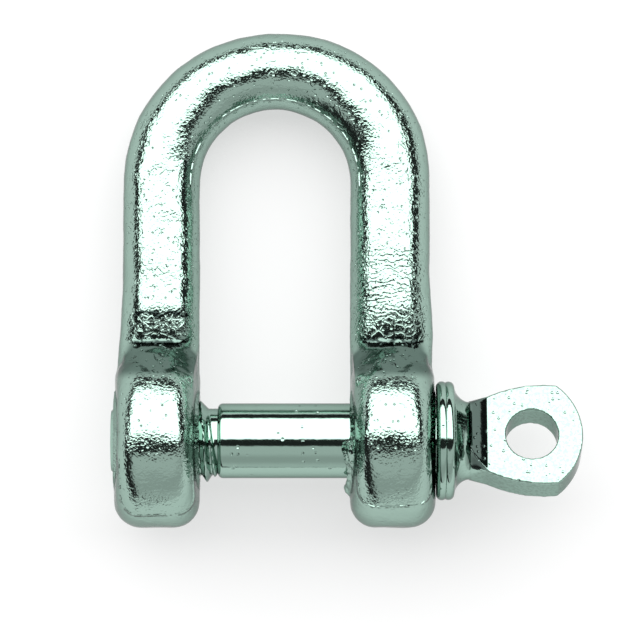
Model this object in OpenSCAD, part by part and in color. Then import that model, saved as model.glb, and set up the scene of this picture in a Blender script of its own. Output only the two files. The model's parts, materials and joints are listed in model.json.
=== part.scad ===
// Straight chain joining shackle with a screw pin, in millimetres.
// Origin: on the pin's axis, in the middle of the jaw. +X runs along the pin to its eye,
// +Y to the crown, +Z up. The shackle lies at rest on both ears and the crown.

/* [Bow] */
// Diameter of the round bar of crown and legs
bar_d = 10.3; // [8:0.1:11]
// Clear width of the jaw, between the ears
jaw_w = 20; // [16:0.5:28]
// Clear length from the pin to the inside of the crown
inside_l = 40; // [34:0.5:60]

/* [Ears] */
// Diameter of the round ears
ear_d = 23.2; // [21:0.1:26]
// Thickness of an ear along the pin
ear_t = 11.4; // [10.8:0.1:14]
// Rounding of the ears' rims
ear_edge_r = 3.5; // [2:0.1:4.5]
// How far the leg stands back from the ear's inner face
leg_set = 0.1; // [0.05:0.05:0.5]
// Slope of the shoulder by which the leg widens into the ear, from the leg's axis
root_slope = 40; // [34:1:46]
// Chamfer at the mouths of both holes
hole_chamfer = 0.4; // [0.2:0.05:0.6]

/* [Pin] */
// Diameter of the plain shank
pin_d = 10; // [8:0.1:10.4]
// Crest diameter of the rolled thread, wider than the shank
thread_d = 11; // [10.6:0.1:12]
// Root diameter of the undercut between thread and shank
undercut_d = 8.6; // [6.5:0.1:9.5]
// Length of thread that shows inside the jaw
thread_show_l = 0.7; // [0.3:0.1:1.5]
// Length of the cone in which the thread runs out
thread_runout_l = 1; // [0.6:0.1:1.5]
// Length of the undercut's straight root
undercut_l = 0.7; // [0.3:0.1:1.2]
// Rounding of the shank's shoulder beside the undercut
shoulder_r = 0.7; // [0.3:0.1:1]
// How far the threaded end stands out of its ear
tip_out = 0.4; // [0.2:0.1:3]
// Chamfer on the threaded end
tip_chamfer = 1.5; // [0.4:0.1:2]

/* [Collar] */
// Diameter of the collar that seats on the plain ear
collar_d = 15.9; // [14.4:0.1:18]
// Thickness of the collar's rim
collar_t = 2.5; // [2:0.1:3.5]
// Depth of the shallow groove round the rim
collar_groove = 0.18; // [0.1:0.02:0.3]
// Radius of the hollow between collar and neck
collar_fillet_r = 2; // [1.2:0.1:2.4]

/* [Eye] */
// Diameter of the round neck behind the eye
eye_neck_d = 10.4; // [9.6:0.1:11]
// Width of the flattened eye
eye_w = 14.3; // [12.6:0.1:16]
// Thickness of the flattened eye
eye_t = 4.9; // [3.5:0.1:6]
// Hole through the eye
eye_hole_d = 7; // [4:0.1:8]
// Distance from the collar's seat to the middle of the hole
eye_hole_l = 12.8; // [12:0.1:15]
// Distance from the middle of the hole to the eye's far end
eye_end_l = 6.8; // [5.5:0.1:8]
// Distance from the middle of the hole on to the place where the eye is widest
eye_wide_l = 1.7; // [0:0.1:2.5]
// Radius of the eye's long bowed sides
eye_side_r = 18; // [15:0.5:24]
// Radius of the eye's far end
eye_end_r = 9; // [8.5:0.1:12]
// Length of the slope from the round neck down to the flat face
eye_ramp_l = 3.5; // [2.5:0.1:4]
// How much the round neck has widened where the flat face starts
eye_root_spread = 0.8; // [0.5:0.1:1.2]
// Turn of the eye about the pin, from the plane of the bow
eye_turn = 15.5; // [0:0.5:90]

/* [Fits] */
// Radial play of the thread in the tapped ear
thread_play = 0.1; // [0.05:0.01:0.3]
// Radial play of the thread as it passes through the plain ear
pass_play = 0.3; // [0.1:0.05:0.5]
// Gap between the plain ear and the collar's seat
seat_gap = 0.05; // [0.02:0.01:0.2]

/* [Hidden] */
$fn = 96;
zinc = "#8fa89d";

// How far a form is sunk into the one that it runs into, so that their faces cross
skin = 0.05;
// How far a cut runs past the faces that it opens
over = 0.5;

bar_r = bar_d / 2;
ear_r = ear_d / 2;
pin_r = pin_d / 2;
thread_r = thread_d / 2;
undercut_r = undercut_d / 2;
collar_r = collar_d / 2;
neck_r = eye_neck_d / 2;

ear_in = jaw_w / 2;
ear_out = ear_in + ear_t;
bend_r = ear_in + leg_set + bar_r;
bend_y = pin_r + inside_l - ear_in - leg_set;
crown_y = bend_y + bend_r;
lie_angle = asin((ear_r - bar_r) / crown_y);

// The shoulder leaves the ear at touch_y, where it is touch_r wide, and sinks into the leg at root_top_y
touch_y = ear_r * sin(root_slope);
touch_r = ear_r * cos(root_slope);
root_top_r = bar_r - leg_set;
root_top_y = touch_y + (touch_r - root_top_r) / tan(root_slope);
foot_y = ear_r / 2;

// Stations along the pin, from its threaded end to the eye
tip_x = -ear_out - tip_out;
thread_end_x = -ear_in + thread_show_l;
root_x = thread_end_x + thread_runout_l;
shoulder_x = root_x + undercut_l;
seat_x = ear_out + seat_gap;
collar_end_x = seat_x + collar_t;
neck_end_x = collar_end_x + collar_fillet_r;
hole_x = seat_x + eye_hole_l;
eye_end_x = hole_x + eye_end_l;
ramp_x = collar_end_x + collar_fillet_r / 2;
flat_x = ramp_x + eye_ramp_l;
head_x = seat_x + collar_t / 2;
wide_x = hole_x + eye_wide_l;

// Lays the shackle on its ears and crown
module lie(turn = 0) {
    rotate([-lie_angle - turn, 0, 0]) children();
}

// Turns a half section, radius along x and length along y, into a solid round the pin's axis
module turned_on_pin() {
    rotate([0, 90, 0]) rotate_extrude() children();
}

// Half section of an ear, with rounded rims
module ear_section(r, t, edge_r) {
    square([r - edge_r, t]);
    translate([0, edge_r]) square([r, t - 2 * edge_r]);
    for (y = [edge_r, t - edge_r])
        translate([r - edge_r, y]) circle(edge_r);
}

// Ear on the +X side
module ear() {
    translate([ear_in, 0, 0]) turned_on_pin() ear_section(ear_r, ear_t, ear_edge_r);
}

// Puts what stands upright over the pin's axis onto the axis of the leg on the +X side
module on_leg() {
    translate([bend_r, 0, 0]) rotate([-90, 0, 0]) children();
}

// Leg on the +X side, from inside the ear to the crown
module leg() {
    on_leg() translate([0, 0, foot_y]) cylinder(d = bar_d, h = bend_y - foot_y);
}

// Forged shoulder between leg and ear on the +X side: sloping to front and back, flat at its flanks
module root() {
    flank = bar_r - skin;
    on_leg() intersection() {
        translate([0, 0, -skin]) rotate_extrude()
            polygon([[0, foot_y], [touch_r, foot_y], [touch_r, touch_y], [root_top_r, root_top_y],
                [0, root_top_y]]);
        translate([-flank, -ear_r, 0]) cube([2 * flank, ear_d, root_top_y]);
    }
}

// Half ring of the crown
module crown() {
    translate([0, bend_y, 0]) rotate_extrude(angle = 180) translate([bend_r, 0]) circle(d = bar_d);
}

// Hole through the ear on the +X side, chamfered at both faces
module ear_hole(r) {
    mouth_r = r + hole_chamfer;
    turned_on_pin() union() {
        translate([0, ear_in - over]) square([r, ear_t + 2 * over]);
        polygon([[0, ear_in - over], [mouth_r + over, ear_in - over], [r, ear_in + hole_chamfer],
            [0, ear_in + hole_chamfer]]);
        polygon([[0, ear_out + over], [mouth_r + over, ear_out + over], [r, ear_out - hole_chamfer],
            [0, ear_out - hole_chamfer]]);
    }
}

// Forged bow: crown, legs and ears in one, with a tapped hole and a plain hole
module bow() {
    color(zinc) lie() difference() {
        union() {
            crown();
            for (side = [0, 1]) mirror([side, 0, 0]) {
                leg();
                root();
                ear();
            }
        }
        ear_hole(thread_r + pass_play);
        mirror([1, 0, 0]) ear_hole(thread_r + thread_play);
    }
}

// Half section of the turned part of the pin, from the threaded end to the neck
module pin_section() {
    polygon([[0, tip_x], [thread_r - tip_chamfer, tip_x], [thread_r, tip_x + tip_chamfer],
        [thread_r, thread_end_x], [undercut_r, root_x], [undercut_r, shoulder_x + shoulder_r],
        [0, shoulder_x + shoulder_r]]);
    translate([0, shoulder_x]) square([pin_r - shoulder_r, shoulder_r]);
    translate([pin_r - shoulder_r, shoulder_x + shoulder_r]) circle(shoulder_r);
    translate([0, shoulder_x + shoulder_r]) square([pin_r, seat_x - shoulder_x]);
}

// Half section of the collar: two soft beads with a shallow groove between, and the hollow to the neck
module collar_section() {
    bead_r = collar_t / 4 + collar_groove;
    translate([0, seat_x]) square([collar_r - bead_r, collar_t]);
    for (x = [seat_x + bead_r, collar_end_x - bead_r])
        translate([collar_r - bead_r, x]) circle(bead_r);
    translate([0, seat_x + bead_r]) square([collar_r - collar_groove, collar_t - 2 * bead_r]);
    difference() {
        translate([0, collar_end_x - over]) square([neck_r + collar_fillet_r, collar_fillet_r + over]);
        translate([neck_r + collar_fillet_r, neck_end_x]) circle(collar_fillet_r);
    }
}

// Outline of the eye, seen square to its flat face
module eye_outline() {
    strip_r = neck_r + skin;
    side_y = eye_side_r - eye_w / 2;
    intersection() {
        union() {
            translate([head_x, -strip_r]) square([flat_x - head_x, 2 * strip_r]);
            intersection() {
                translate([wide_x, side_y]) circle(eye_side_r);
                translate([wide_x, -side_y]) circle(eye_side_r);
            }
        }
        union() {
            translate([eye_end_x - eye_end_r, 0]) circle(eye_end_r);
            translate([head_x, -eye_w]) square([hole_x - head_x, 2 * eye_w]);
        }
    }
}

// Thickness of the eye, seen edge-on: slopes from the round neck to the flat faces
module eye_edge() {
    slope = (neck_r - eye_t / 2) / eye_ramp_l;
    top = neck_r + over;
    top_x = ramp_x - over / slope;
    end_x = eye_end_x + over;
    polygon([[head_x, top], [top_x, top], [flat_x, eye_t / 2], [end_x, eye_t / 2],
        [end_x, -eye_t / 2], [flat_x, -eye_t / 2], [top_x, -top], [head_x, -top]]);
}

// Half section of the round form along which the neck widens
module eye_spread() {
    end_x = eye_end_x + over;
    polygon([[0, head_x], [neck_r - skin, head_x], [neck_r + skin, neck_end_x],
        [neck_r + eye_root_spread, flat_x], [eye_w, flat_x + eye_w / 2], [eye_w, end_x], [0, end_x]]);
}

// Flattened eye with its hole
module eye() {
    difference() {
        intersection() {
            linear_extrude(eye_neck_d + 2 * over, center = true) eye_outline();
            rotate([90, 0, 0]) linear_extrude(2 * eye_w, center = true) eye_edge();
            turned_on_pin() eye_spread();
        }
        translate([hole_x, 0, 0]) cylinder(d = eye_hole_d, h = eye_t + 2 * over, center = true);
    }
}

// Screw pin: thread, undercut, shank, collar and eye in one
module screw_pin() {
    color(zinc) lie(eye_turn) {
        turned_on_pin() {
            pin_section();
            collar_section();
        }
        eye();
    }
}

bow();
screw_pin();
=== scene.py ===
import json
import math

import bpy
from mathutils import Matrix, Vector


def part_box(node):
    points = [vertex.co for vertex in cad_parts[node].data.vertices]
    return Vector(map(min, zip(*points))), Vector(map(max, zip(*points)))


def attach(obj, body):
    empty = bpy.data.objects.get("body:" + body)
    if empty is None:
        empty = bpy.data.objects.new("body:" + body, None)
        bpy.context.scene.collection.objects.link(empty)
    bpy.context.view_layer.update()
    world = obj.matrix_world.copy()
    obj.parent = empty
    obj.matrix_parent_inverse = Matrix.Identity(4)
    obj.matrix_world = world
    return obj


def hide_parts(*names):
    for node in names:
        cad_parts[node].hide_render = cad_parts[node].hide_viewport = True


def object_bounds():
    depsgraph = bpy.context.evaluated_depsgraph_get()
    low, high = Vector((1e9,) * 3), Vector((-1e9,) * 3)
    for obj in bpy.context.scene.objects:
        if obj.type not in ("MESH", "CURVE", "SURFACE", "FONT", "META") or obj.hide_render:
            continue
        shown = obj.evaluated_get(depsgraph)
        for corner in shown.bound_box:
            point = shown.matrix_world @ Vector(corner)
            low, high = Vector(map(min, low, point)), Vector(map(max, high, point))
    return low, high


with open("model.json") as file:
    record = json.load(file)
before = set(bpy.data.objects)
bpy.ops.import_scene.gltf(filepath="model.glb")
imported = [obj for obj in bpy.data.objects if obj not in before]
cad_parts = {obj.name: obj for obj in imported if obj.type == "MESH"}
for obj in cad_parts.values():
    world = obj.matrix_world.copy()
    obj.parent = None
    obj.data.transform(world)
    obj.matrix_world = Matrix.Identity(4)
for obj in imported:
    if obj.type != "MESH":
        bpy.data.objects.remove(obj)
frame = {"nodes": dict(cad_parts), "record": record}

cad_box = [list(corner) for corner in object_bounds()]
bpy.ops.object.select_all(action="DESELECT")
mm = 0.001

# Bow
# One hot forging: a round bar bent to a D, its ends upset into thick round ears and drilled, the left
# one tapped. The dies leave a draft on the ears and dimples and thin wrinkles all over, under bright zinc.

bow_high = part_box("bow")[1]
ear_r = bow_high[2]
ear_out = bow_high[0]
ear_in = 10 * mm
ear_mid = (ear_in + ear_out) / 2
bar_d = 10.3 * mm
bend_y = 34.9 * mm
pass_hole_r = 5.8 * mm
tapped_hole_r = 5.6 * mm
thread_pitch = 1.5 * mm

# The bow's own plane leans from the ears down to the crown, by the angle of the crown's seat
seat_axis = [mount for mount in frame["record"]["mounts"] if mount["name"] == "crown_seat"][0]["axis"]
lie = Matrix.Rotation(-math.asin(seat_axis[2]), 4, "X")


def ramp(value, start, end):
    """Rises smoothly from 0 at start to 1 at end."""
    share = min(max((value - start) / (end - start), 0), 1)
    return share * share * (3 - 2 * share)


def pick(*pieces):
    """Selects these pieces alone and makes the first one active."""
    bpy.ops.object.select_all(action="DESELECT")
    for piece in pieces:
        piece.select_set(True)
    bpy.context.view_layer.objects.active = pieces[0]


def finish_with(piece, kind, **settings):
    """Adds a modifier to a piece, sets it and applies it."""
    pick(piece)
    modifier = piece.modifiers.new(kind.lower(), kind)
    for name, value in settings.items():
        setattr(modifier, name, value)
    bpy.ops.object.modifier_apply(modifier=modifier.name)


def solid_copy(name, node):
    """A new piece with a CAD node's mesh, its loose triangles merged."""
    piece = bpy.data.objects.new(name, frame["nodes"][node].data.copy())
    bpy.context.collection.objects.link(piece)
    pick(piece)
    bpy.ops.object.mode_set(mode="EDIT")
    bpy.ops.mesh.select_all(action="SELECT")
    bpy.ops.mesh.remove_doubles(threshold=0.001 * mm)
    bpy.ops.object.mode_set(mode="OBJECT")
    return piece


bow = solid_copy("forged_bow", "bow")

# The bar swells towards each ear, more to the outside
swells = []
swell_foot_y = 4 * mm
swell_top_y = 24 * mm
for side in (-1, 1):
    foot = Vector((side * ear_mid, swell_foot_y, 0))
    top = Vector((side * (ear_in + bar_d / 2), swell_top_y, 0))
    bpy.ops.mesh.primitive_cone_add(
        vertices=96, radius1=ear_mid - ear_in, radius2=bar_d / 2 - 0.06 * mm, depth=(top - foot).length)
    swell = bpy.context.object
    along = (top - foot).to_track_quat("Z", "Y").to_matrix().to_4x4()
    thin = Matrix.Diagonal((1, 1, 0.9, 1))
    swell.matrix_world = lie @ thin @ Matrix.Translation((foot + top) / 2) @ along
    bpy.ops.object.transform_apply()
    swells.append(swell)

# Drops of zinc hang at the inner mouth of the plain hole
drops = []
for angle_deg, proud, size in ((9, 1.3, 1.25), (23, 1, 1), (37, 0.6, 0.8), (50, 0.6, 0.8),
                               (62, 0.7, 0.85), (75, 0.9, 1)):
    turn = math.radians(angle_deg)
    radius = pass_hole_r + (size - 0.25) * mm
    drop_at = (ear_in + (size - proud) * mm, -radius * math.sin(turn), radius * math.cos(turn))
    bpy.ops.mesh.primitive_ico_sphere_add(subdivisions=3, radius=size * mm, location=drop_at)
    bpy.ops.object.transform_apply()
    drops.append(bpy.context.object)

pick(bow, *swells, *drops)
bpy.ops.object.join()
finish_with(bow, "REMESH", mode="VOXEL", voxel_size=0.3 * mm)
finish_with(bow, "SMOOTH", factor=0.5, iterations=8)

# Where the dies worked: draft on the ears, a flatter bar before them, a fuller right leg and shoulder,
# and the thread in the left ear
draft = 0.16
waist_y = 18 * mm
waist_slope = 0.2
ear_shoulder_y = 7.46 * mm
ear_shoulder_r = 8.89 * mm
ear_shoulder_fall = math.tan(math.radians(40))
weld_r = 0.36 * mm
right_leg_more = 0.35 * mm
shoulder_more = 0.45 * mm
left_leg_twist = 0.07
tap_depth = 0.4 * mm
flat = lie.inverted()
for vertex in bow.data.vertices:
    x, y, z = flat @ vertex.co
    side = 1 if x > 0 else -1
    on_ear = 1 - ramp(y, 9 * mm, 15 * mm)
    radius = math.hypot(y, z)
    if side < 0 and radius < tapped_hole_r + 0.25 * mm and ear_in + 0.3 * mm < -x < ear_out - 0.3 * mm:
        phase = (x / thread_pitch - math.atan2(z, y) / math.tau) % 1
        grow = 1 + tap_depth * (1 - abs(2 * phase - 1)) / radius
        y, z = y * grow, z * grow
    elif radius > tapped_hole_r + 1 * mm:
        x = side * (ear_mid + (side * x - ear_mid) * (1 - draft * on_ear * abs(z) / ear_r))
    if ear_shoulder_y < y < waist_y:
        shoulder = ear_shoulder_r - (y - ear_shoulder_y) * ear_shoulder_fall
        soft = bar_d / 2 + weld_r * math.log1p(math.exp((shoulder - bar_d / 2) / weld_r))
        down = (waist_y - y) ** 2 / (4 * mm) if y > waist_y - 2 * mm else waist_y - y - 1 * mm
        z *= max(shoulder, bar_d / 2 - waist_slope * down) / soft
    outer = ramp(side * x, ear_in, ear_in + bar_d)
    if side > 0:
        x += right_leg_more * outer * (1 - on_ear)
    elif y < bend_y:
        x += left_leg_twist * z * (1 - on_ear) * (1 - ramp(y, bend_y - 15 * mm, bend_y))
    around = math.atan2(y - bend_y, x)
    if 0 < around < math.pi / 2:
        away = Vector((x, y - bend_y))
        more = shoulder_more * math.sin(2 * around) * ramp(away.length, ear_in, ear_in + bar_d)
        away *= 1 + more / away.length
        x, y = away.x, away.y + bend_y
    vertex.co = lie @ Vector((x, y, z))

waves = bpy.data.textures.new("forging_waves", "CLOUDS")
waves.noise_scale = 4 * mm
waves.noise_depth = 1
finish_with(bow, "DISPLACE", texture=waves, texture_coords="LOCAL", mid_level=0.5, strength=0.2 * mm)
dimples = bpy.data.textures.new("skin_dimples", "CLOUDS")
dimples.noise_scale = 0.7 * mm
dimples.noise_depth = 1
finish_with(bow, "DISPLACE", texture=dimples, texture_coords="LOCAL", mid_level=0.5, strength=0.045 * mm)
bpy.ops.object.shade_smooth()


def new_material(name):
    """Starts a material with its shader and object coordinates, and returns its tree's parts."""
    material = bpy.data.materials.new(name)
    material.use_nodes = True
    nodes = material.node_tree.nodes
    shader = nodes["Principled BSDF"]
    place = nodes.new("ShaderNodeTexCoord")
    return material, nodes, material.node_tree.links, shader, place


material, nodes, links, shader, place = new_material("forged_zinc")
shader.inputs["Metallic"].default_value = 1
shader.inputs["Roughness"].default_value = 0.1
shader.inputs["Specular Tint"].default_value = (0.5, 0.5, 0.5, 1)


def pattern(kind, scale, vector=None, **settings):
    """A texture node of the current material, on object coordinates unless a vector is given."""
    texture = nodes.new("ShaderNodeTex" + kind)
    texture.inputs["Scale"].default_value = scale
    for name, value in settings.items():
        if name == "feature":
            texture.feature = value
        else:
            texture.inputs[name].default_value = value
    links.new(vector or place.outputs["Object"], texture.inputs["Vector"])
    return texture


def between(value, start, end):
    """A soft step from 0 to 1 as a value goes from start to end."""
    step = nodes.new("ShaderNodeMapRange")
    step.interpolation_type = "SMOOTHSTEP"
    step.inputs["From Min"].default_value = start
    step.inputs["From Max"].default_value = end
    links.new(value, step.inputs["Value"])
    return step.outputs["Result"]


def joined(operation, *values):
    """The values joined by a maths operation, two at a time."""
    total = values[0]
    for value in values[1:]:
        step = nodes.new("ShaderNodeMath")
        step.operation = operation
        for socket, part in zip(step.inputs, (total, value)):
            if isinstance(part, (int, float)):
                socket.default_value = part
            else:
                links.new(part, socket)
        total = step.outputs["Value"]
    return total


def band(value, start, full, still_full, end):
    """Rises softly from 0 at start to 1 at full, and falls from still_full to 0 at end."""
    return joined("MULTIPLY", between(value, start, full), between(value, end, still_full))


def raised(height, depth, normal=None, strength=None):
    """Bump of a given depth over an earlier normal, where strength says."""
    bump = nodes.new("ShaderNodeBump")
    bump.inputs["Distance"].default_value = depth
    links.new(height, bump.inputs["Height"])
    if normal:
        links.new(normal, bump.inputs["Normal"])
    if strength:
        links.new(strength, bump.inputs["Strength"])
    return bump.outputs["Normal"]


# Grain of the plated skin, pressed smooth before the ears, where the top and bottom of the bar carry
# painted shade, with thin fold lines of painted shade
bright_zinc = (0.32, 0.45, 0.39, 1)
# The colour below is painted shade, for the top and bottom of the bar before the ears
painted_shade_zinc = (0.12, 0.18, 0.155, 1)
# The colour below is painted shade, for the thin fold lines
painted_fold_shade = (0.03, 0.045, 0.04, 1)
leg_mid_z = -1.65 * mm
lower_fold_y = 13.2 * mm
upper_fold_y = 16.9 * mm
grain = pattern("Noise", 3000, Detail=1)
split = nodes.new("ShaderNodeSeparateXYZ")
links.new(place.outputs["Object"], split.inputs["Vector"])
beyond = between(split.outputs["Y"], 12.5 * mm, 15.5 * mm)
before = between(split.outputs["Y"], 9.5 * mm, 8 * mm)
from_middle = joined("SUBTRACT", split.outputs["Z"], leg_mid_z)
flank = between(joined("MULTIPLY", from_middle, from_middle), (3.6 * mm) ** 2, (2.2 * mm) ** 2)
bright = joined("MAXIMUM", beyond, before, flank)
skin = raised(grain.outputs["Fac"], 0.05 * mm, strength=bright)
# Mixes the zinc with the painted shade before the ears; the bright mask keeps the flanks and the rest of
# the bar clear
zinc_and_painted_shade = nodes.new("ShaderNodeMix")
zinc_and_painted_shade.data_type = "RGBA"
zinc_and_painted_shade.inputs["A"].default_value = painted_shade_zinc
zinc_and_painted_shade.inputs["B"].default_value = bright_zinc
links.new(bright, zinc_and_painted_shade.inputs["Factor"])
# Lays the painted shade of the fold lines over it
fold_shading = nodes.new("ShaderNodeMix")
fold_shading.data_type = "RGBA"
fold_shading.inputs["B"].default_value = painted_fold_shade
links.new(zinc_and_painted_shade.outputs["Result"], fold_shading.inputs["A"])
wavering = joined("MULTIPLY", pattern("Noise", 550, Detail=2).outputs["Fac"], 3 * mm)
fold_y = joined("ADD", split.outputs["Y"], wavering)


def crease_shade(y):
    """A thin wavering line of painted shade across the top and bottom of the legs."""
    line = band(fold_y, y + 1.1 * mm, y + 1.35 * mm, y + 1.65 * mm, y + 1.95 * mm)
    return joined("MULTIPLY", line, between(flank, 0.6, 0.2))


left_leg = between(split.outputs["X"], 0, -5 * mm)
upper_fold = joined("MULTIPLY", crease_shade(upper_fold_y), left_leg)
links.new(joined("MAXIMUM", crease_shade(lower_fold_y), upper_fold), fold_shading.inputs["Factor"])
links.new(fold_shading.outputs["Result"], shader.inputs["Base Color"])

# Thin wrinkles in patches, and all over between the folds
wander = pattern("Noise", 700)
bent = nodes.new("ShaderNodeVectorMath")
bent.operation = "MULTIPLY_ADD"
bent.inputs[1].default_value = (1 * mm, 1 * mm, 1 * mm)
links.new(wander.outputs["Color"], bent.inputs[0])
links.new(place.outputs["Object"], bent.inputs[2])
cells = pattern("Voronoi", 800, bent.outputs["Vector"], feature="DISTANCE_TO_EDGE")
wrinkled = between(pattern("Noise", 700, Detail=1).outputs["Fac"], 0.52, 0.64)
crumpled = band(split.outputs["Y"], 13 * mm, 13.6 * mm, 16.8 * mm, 17.4 * mm)
wrinkled = joined("MAXIMUM", wrinkled, crumpled)
skin = raised(between(cells.outputs["Distance"], 0, 0.12), 0.025 * mm, skin, wrinkled)

# Pits, each in its own cell, in some of the cells
pit_cells = pattern("Voronoi", 1400)
pitted = joined(
    "MULTIPLY", between(pit_cells.outputs["Color"], 0.42, 0.6), between(split.outputs["Y"], -3 * mm, 0))
skin = raised(between(pit_cells.outputs["Distance"], 0.05, 0.3), 0.09 * mm, skin, pitted)

# Arched wrinkles where the right leg was upset
arch_mid = (15.1 * mm, 13 * mm)
arch_place = nodes.new("ShaderNodeMapping")
arch_place.inputs["Location"].default_value = (-arch_mid[0], -arch_mid[1], 0)
links.new(place.outputs["Object"], arch_place.inputs["Vector"])
arches = nodes.new("ShaderNodeTexWave")
arches.wave_type = "RINGS"
arches.rings_direction = "Z"
arches.inputs["Scale"].default_value = 430
arches.inputs["Distortion"].default_value = 9
arches.inputs["Detail"].default_value = 2
arches.inputs["Detail Scale"].default_value = 2
links.new(arch_place.outputs["Vector"], arches.inputs["Vector"])
along_leg = band(split.outputs["Y"], 15 * mm, 17 * mm, 25.2 * mm, 25.8 * mm)
upset = joined("MULTIPLY", along_leg, between(split.outputs["X"], 0, 5 * mm))
skin = raised(arches.outputs["Fac"], 0.03 * mm, skin, upset)

# The trimmed edge round the front of each ear, a broken line a little inside its outline
trim_from_mid = 4.9 * mm
trim_front = 9.2 * mm
trim_corner = 2.5 * mm
askew = nodes.new("ShaderNodeMapping")
askew.inputs["Rotation"].default_value = (0, 0, math.radians(-2.1))
links.new(place.outputs["Object"], askew.inputs["Vector"])
offset = askew.outputs["Vector"]
for operation, amount in (
        ("ABSOLUTE", None), ("SUBTRACT", (ear_mid, 0, 0)), ("ABSOLUTE", None),
        ("SUBTRACT", (trim_from_mid - trim_corner, trim_front - trim_corner, 1)), ("MAXIMUM", (0, 0, 0))):
    step = nodes.new("ShaderNodeVectorMath")
    step.operation = operation
    links.new(offset, step.inputs[0])
    if amount:
        step.inputs[1].default_value = amount
    offset = step.outputs["Vector"]
length = nodes.new("ShaderNodeVectorMath")
length.operation = "LENGTH"
links.new(offset, length.inputs[0])
off_line = nodes.new("ShaderNodeMath")
off_line.operation = "PINGPONG"
off_line.inputs[1].default_value = trim_corner
links.new(length.outputs["Value"], off_line.inputs[0])
trim = between(off_line.outputs["Value"], trim_corner - 0.22 * mm, trim_corner)
broken = between(pattern("Noise", 1100, Detail=2).outputs["Fac"], 0.38, 0.56)
in_front = between(split.outputs["Y"], -1 * mm, -4 * mm)
skin = raised(trim, 0.35 * mm, skin, joined("MULTIPLY", in_front, broken))

# A thin broken line of trimmed flash round the inside of the crown
flash_mid = (0, 34.6 * mm, 0)
flash_r = 11.2 * mm
plan = nodes.new("ShaderNodeVectorMath")
plan.operation = "MULTIPLY"
plan.inputs[1].default_value = (1, 1, 0)
links.new(place.outputs["Object"], plan.inputs[0])
from_mid = nodes.new("ShaderNodeVectorMath")
from_mid.operation = "DISTANCE"
from_mid.inputs[1].default_value = flash_mid
links.new(plan.outputs["Vector"], from_mid.inputs[0])
flash = band(from_mid.outputs["Value"], flash_r - 0.2 * mm, flash_r, flash_r, flash_r + 0.2 * mm)
on_crown = between(split.outputs["Y"], 33 * mm, 36 * mm)
skin = raised(flash, 0.3 * mm, skin, joined("MULTIPLY", on_crown, broken))
links.new(skin, shader.inputs["Normal"])
bow.data.materials.clear()
bow.data.materials.append(material)
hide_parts("bow")
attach(bow, "bow")

# Screw pin
# Turned from one bar: rolled thread, undercut and plain shank, with a collar of two beads. Its end is
# flattened hot into an eye with a hole, for a bar to turn it with. Bright zinc all over.

tip_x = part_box("screw_pin")[0][0]
tip_chamfer = 1.5 * mm
thread_r = 5.5 * mm
thread_depth = 0.9 * mm
thread_end_x = -9.3 * mm
runout_slant = 0.7 * mm
undercut_r = 4.3 * mm
shoulder_x = -7.6 * mm
shoulder_r = 0.7 * mm
shank_r = 5 * mm
seat_x = ear_out + 0.05 * mm
collar_r = 7.95 * mm
bead_r = 0.805 * mm
collar_groove = 0.18 * mm
groove_x = seat_x + 1.25 * mm

# Half section, as places along the pin and radii
section = [(tip_x, 0), (tip_x, thread_r - tip_chamfer)]
ring_step = 0.1 * mm
rings = round((shoulder_x - tip_x) / ring_step)
for ring in range(1, rings):
    section.append((tip_x + ring * ring_step, thread_r))
for step in range(9):
    turn = math.radians(90 * step / 8)
    along, inward = shoulder_r * (1 - math.cos(turn)), shoulder_r * (1 - math.sin(turn))
    section.append((shoulder_x + along, shank_r - inward))
shank_steps = 24
shank_x = section[-1][0]
for step in range(1, shank_steps + 1):
    section.append((shank_x + (seat_x - shank_x) * step / shank_steps, shank_r))
section.append((seat_x, collar_r - bead_r))
for step in range(13):
    turn = math.radians(-90 + 150 * step / 12)
    section.append((seat_x + bead_r + bead_r * math.sin(turn), collar_r - bead_r + bead_r * math.cos(turn)))
section = section[:-1] + [(groove_x, collar_r - collar_groove - 0.05 * mm), (groove_x, 0)]

half_section = bpy.data.meshes.new("turned_pin")
half_section.from_pydata(
    [(x, 0, radius) for x, radius in section], [(i, i + 1) for i in range(len(section) - 1)], [])
pin = bpy.data.objects.new("turned_pin", half_section)
bpy.context.collection.objects.link(pin)
pick(pin)
bpy.ops.object.mode_set(mode="EDIT")
bpy.ops.mesh.select_all(action="SELECT")
bpy.ops.mesh.spin(steps=144, angle=math.tau, center=(0, 0, 0), axis=(1, 0, 0))
bpy.ops.mesh.select_all(action="SELECT")
bpy.ops.mesh.remove_doubles(threshold=0.001 * mm)
bpy.ops.mesh.normals_make_consistent(inside=False)
bpy.ops.object.mode_set(mode="OBJECT")

# The rolled thread runs out slantwise into the undercut
for vertex in pin.data.vertices:
    x, y, z = vertex.co
    radius = math.hypot(y, z)
    if radius < 0.1 * mm or x > shoulder_x - 0.01 * mm or x < tip_x + 0.01 * mm:
        continue
    turn = math.atan2(z, y)
    phase = (x / thread_pitch - turn / math.tau) % 1
    wave = min(max(1.25 * abs(2 * phase - 1) - 0.1, 0), 1)
    end_x = thread_end_x - runout_slant * math.cos(turn)
    wanted = thread_r - thread_depth * wave
    wanted = min(wanted, thread_r - tip_chamfer + (x - tip_x))
    wanted = min(wanted, max(undercut_r, thread_r - (x - end_x)))
    if x > end_x:
        wanted = max(wanted, undercut_r)
    vertex.co = (x, y * wanted / radius, z * wanted / radius)

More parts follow.
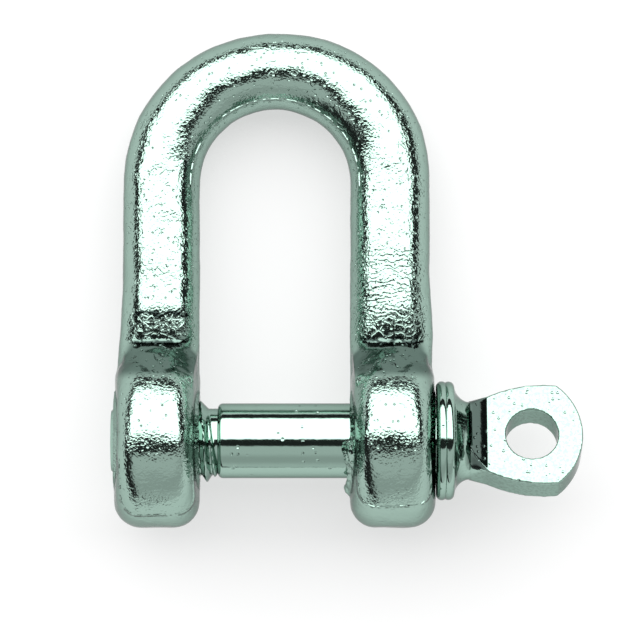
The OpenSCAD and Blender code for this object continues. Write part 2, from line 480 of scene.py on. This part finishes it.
# The eye and its neck, with a tapered plug that sinks into the turned collar
plug_l = 0.6 * mm
plug_share = 0.9
eye = solid_copy("eye", "screw_pin")
bpy.ops.object.mode_set(mode="EDIT")
bpy.ops.mesh.select_all(action="SELECT")
bpy.ops.mesh.bisect(plane_co=(groove_x, 0, 0), plane_no=(1, 0, 0), use_fill=True, clear_inner=True)
bpy.ops.mesh.extrude_region_move(TRANSFORM_OT_translate={"value": (-plug_l, 0, 0)})
bpy.ops.transform.resize(value=(1, plug_share, plug_share))
bpy.ops.object.mode_set(mode="OBJECT")
finish_with(eye, "REMESH", mode="VOXEL", voxel_size=0.15 * mm)
finish_with(eye, "SMOOTH", factor=0.5, iterations=14)

# The slope between collar and eye is hollow: steep at the collar, easier towards the flat face
eye_face = [mount for mount in frame["record"]["mounts"] if mount["name"] == "eye_hole"][0]["axis"]
eye_face = Vector(eye_face)
eye_half_t = 2.45 * mm
neck_r = 5.2 * mm
hollow_r = 2 * mm
hollow_x = seat_x + 4.5 * mm
slope_x = seat_x + 3.5 * mm
flat_x = seat_x + 7 * mm
slope_rise = 0.6
slope_curve = 0.1 / mm
for vertex in eye.data.vertices:
    x = vertex.co.x
    if not hollow_x - hollow_r - 0.1 * mm < x < flat_x:
        continue
    now = neck_r - (neck_r - eye_half_t) * (x - slope_x) / (flat_x - slope_x)
    if x < hollow_x:
        reach = min(hollow_x - x, hollow_r)
        now = max(now, neck_r + hollow_r - math.sqrt(hollow_r ** 2 - reach ** 2))
    left = flat_x - x
    wanted = eye_half_t + slope_rise * left + slope_curve * left ** 2
    share = ramp(x, hollow_x - hollow_r - 0.1 * mm, hollow_x - hollow_r + 0.1 * mm)
    height = vertex.co.dot(eye_face)
    vertex.co += eye_face * height * share * (wanted / now - 1)
finish_with(pin, "BOOLEAN", operation="UNION", solver="EXACT", object=eye)
bpy.data.objects.remove(eye)
pick(pin)
bpy.ops.object.shade_smooth_by_angle(angle=math.radians(40))

material, nodes, links, shader, place = new_material("pin_zinc")
shader.inputs["Metallic"].default_value = 1
shader.inputs["Roughness"].default_value = 0.08
shader.inputs["Specular Tint"].default_value = (0.5, 0.5, 0.5, 1)

# A faint unevenness all over, and pits that lie closer on the eye than on the shank
skin = raised(pattern("Noise", 900, Detail=2).outputs["Fac"], 0.012 * mm)
split = nodes.new("ShaderNodeSeparateXYZ")
links.new(place.outputs["Object"], split.inputs["Vector"])
on_eye = between(split.outputs["X"], seat_x, seat_x + 8 * mm)
few = nodes.new("ShaderNodeMapRange")
few.inputs["To Min"].default_value = 0.28
few.inputs["To Max"].default_value = 0.62
links.new(on_eye, few.inputs["Value"])
pit_cells = pattern("Voronoi", 1100)
chance = nodes.new("ShaderNodeMath")
chance.operation = "LESS_THAN"
links.new(pit_cells.outputs["Color"], chance.inputs[0])
links.new(few.outputs["Result"], chance.inputs[1])
skin = raised(between(pit_cells.outputs["Distance"], 0.05, 0.3), 0.08 * mm, skin, chance.outputs["Value"])

# Faint dull grains on the eye, and painted shade darkening the hollow slope before it
grains = between(pattern("Noise", 2600, Detail=3).outputs["Fac"], 0.46, 0.62)
eye_height = nodes.new("ShaderNodeVectorMath")
eye_height.operation = "DOT_PRODUCT"
eye_height.inputs[1].default_value = eye_face
links.new(place.outputs["Object"], eye_height.inputs[0])
squared = joined("POWER", eye_height.outputs["Value"], 2)
above = between(squared, eye_half_t ** 2, (eye_half_t + 0.3 * mm) ** 2)
along_slope = band(
    split.outputs["X"], flat_x - 3.4 * mm, flat_x - 2 * mm, flat_x - 0.1 * mm, flat_x + 0.1 * mm)
slope_shade = joined("MULTIPLY", above, along_slope)
grains_and_slope_shade = joined("MAXIMUM", joined("MULTIPLY", grains, on_eye, 0.3), slope_shade)
# Darkens the zinc colour: faint dull grains on the eye, and painted shade in the hollow slope
zinc_and_painted_shade = nodes.new("ShaderNodeMix")
zinc_and_painted_shade.data_type = "RGBA"
zinc_and_painted_shade.inputs["A"].default_value = (0.32, 0.46, 0.395, 1)
zinc_and_painted_shade.inputs["B"].default_value = (0.12, 0.17, 0.15, 1)
links.new(grains_and_slope_shade, zinc_and_painted_shade.inputs["Factor"])
links.new(zinc_and_painted_shade.outputs["Result"], shader.inputs["Base Color"])
links.new(skin, shader.inputs["Normal"])
pin.data.materials.clear()
pin.data.materials.append(material)
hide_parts("screw_pin")
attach(pin, "pin")

# Floor
# Plain pale paper under the shackle.
floor_z = cad_box[0][2]
bpy.ops.mesh.primitive_plane_add(size=4, location=(0, 0, floor_z))
floor = bpy.context.object
floor.name = "floor"
bpy.ops.object.transform_apply()
material, nodes, links, shader, place = new_material("floor_paper")
shader.inputs["Roughness"].default_value = 1
shader.inputs["Specular IOR Level"].default_value = 0
shader.inputs["Base Color"].default_value = (0.8, 0.8, 0.8, 1)

# Seen directly or in the metal, about half of its brightness is its own, so that the shadow stays light
own_share = 0.55
glow = nodes.new("ShaderNodeEmission")
glow.inputs["Color"].default_value = (1, 1, 1, 1)
path = nodes.new("ShaderNodeLightPath")
shown_to = [path.outputs["Is " + kind + " Ray"] for kind in ("Camera", "Glossy", "Transmission")]
seen = joined("MAXIMUM", *shown_to)
blend = nodes.new("ShaderNodeMixShader")
links.new(joined("MULTIPLY", seen, own_share), blend.inputs["Fac"])
links.new(shader.outputs["BSDF"], blend.inputs[1])
links.new(glow.outputs["Emission"], blend.inputs[2])
links.new(blend.outputs["Shader"], nodes["Material Output"].inputs["Surface"])
floor.data.materials.append(material)

# Studio light
# A large soft box behind the shackle, a plain grey fill in front, and dark gaps between them.
world = bpy.data.worlds.new("studio")
world.use_nodes = True
bpy.context.scene.world = world
nodes = world.node_tree.nodes
links = world.node_tree.links
background = nodes["Background"]
background.inputs["Color"].default_value = (1, 1, 1, 1)
direction = nodes.new("ShaderNodeTexCoord")
split = nodes.new("ShaderNodeSeparateXYZ")
links.new(direction.outputs["Generated"], split.inputs["Vector"])
lean = nodes.new("ShaderNodeMath")
lean.operation = "ARCTAN2"
links.new(split.outputs["Y"], lean.inputs[0])
links.new(split.outputs["Z"], lean.inputs[1])
sideways = nodes.new("ShaderNodeMath")
sideways.operation = "ARCTAN2"
links.new(split.outputs["X"], sideways.inputs[0])
links.new(split.outputs["Z"], sideways.inputs[1])


def past(value, start_deg, end_deg):
    """A soft step from 0 to 1 as an angle goes from start to end."""
    step = nodes.new("ShaderNodeMapRange")
    step.interpolation_type = "SMOOTHSTEP"
    step.inputs["From Min"].default_value = math.radians(start_deg)
    step.inputs["From Max"].default_value = math.radians(end_deg)
    links.new(value.outputs["Value"], step.inputs["Value"])
    return step.outputs["Result"]


softbox_strength = 3.2
fill_strength = 0.8
dip_strength = -0.2
all_round = 0.03
softbox = joined(
    "MULTIPLY", past(lean, 4, 7), past(lean, 76, 71), past(sideways, -72, -67), past(sideways, 65, 60),
    softbox_strength)
on_fill_side = past(sideways, -60, -42)
fill = joined("MULTIPLY", past(lean, -14, -18), on_fill_side, fill_strength)
dip = joined("MULTIPLY", past(lean, -36, -56), past(lean, -84, -64), on_fill_side, dip_strength)
links.new(joined("ADD", softbox, fill, dip, all_round), background.inputs["Strength"])

# Camera
# Above the lying shackle, close to square, at the distance that the photograph's perspective gives.
camera_data = bpy.data.cameras.new("camera")
camera = bpy.data.objects.new("camera", camera_data)
bpy.context.collection.objects.link(camera)
bpy.context.scene.camera = camera
elevation = math.radians(89)
distance = 0.64
picture_px = 640
px_per_mm = 7.49
frame_width = picture_px / px_per_mm * mm
aim = Vector((6.03 * mm, 16.12 * mm, 0))
camera.location = aim + distance * Vector((0, -math.cos(elevation), math.sin(elevation)))
camera.rotation_euler = (math.pi / 2 - elevation, 0, 0)
camera_data.sensor_width = 36
camera_data.lens = camera_data.sensor_width / frame_width * distance
camera_data.clip_start = 0.01
bpy.context.scene.view_settings.view_transform = "Standard"
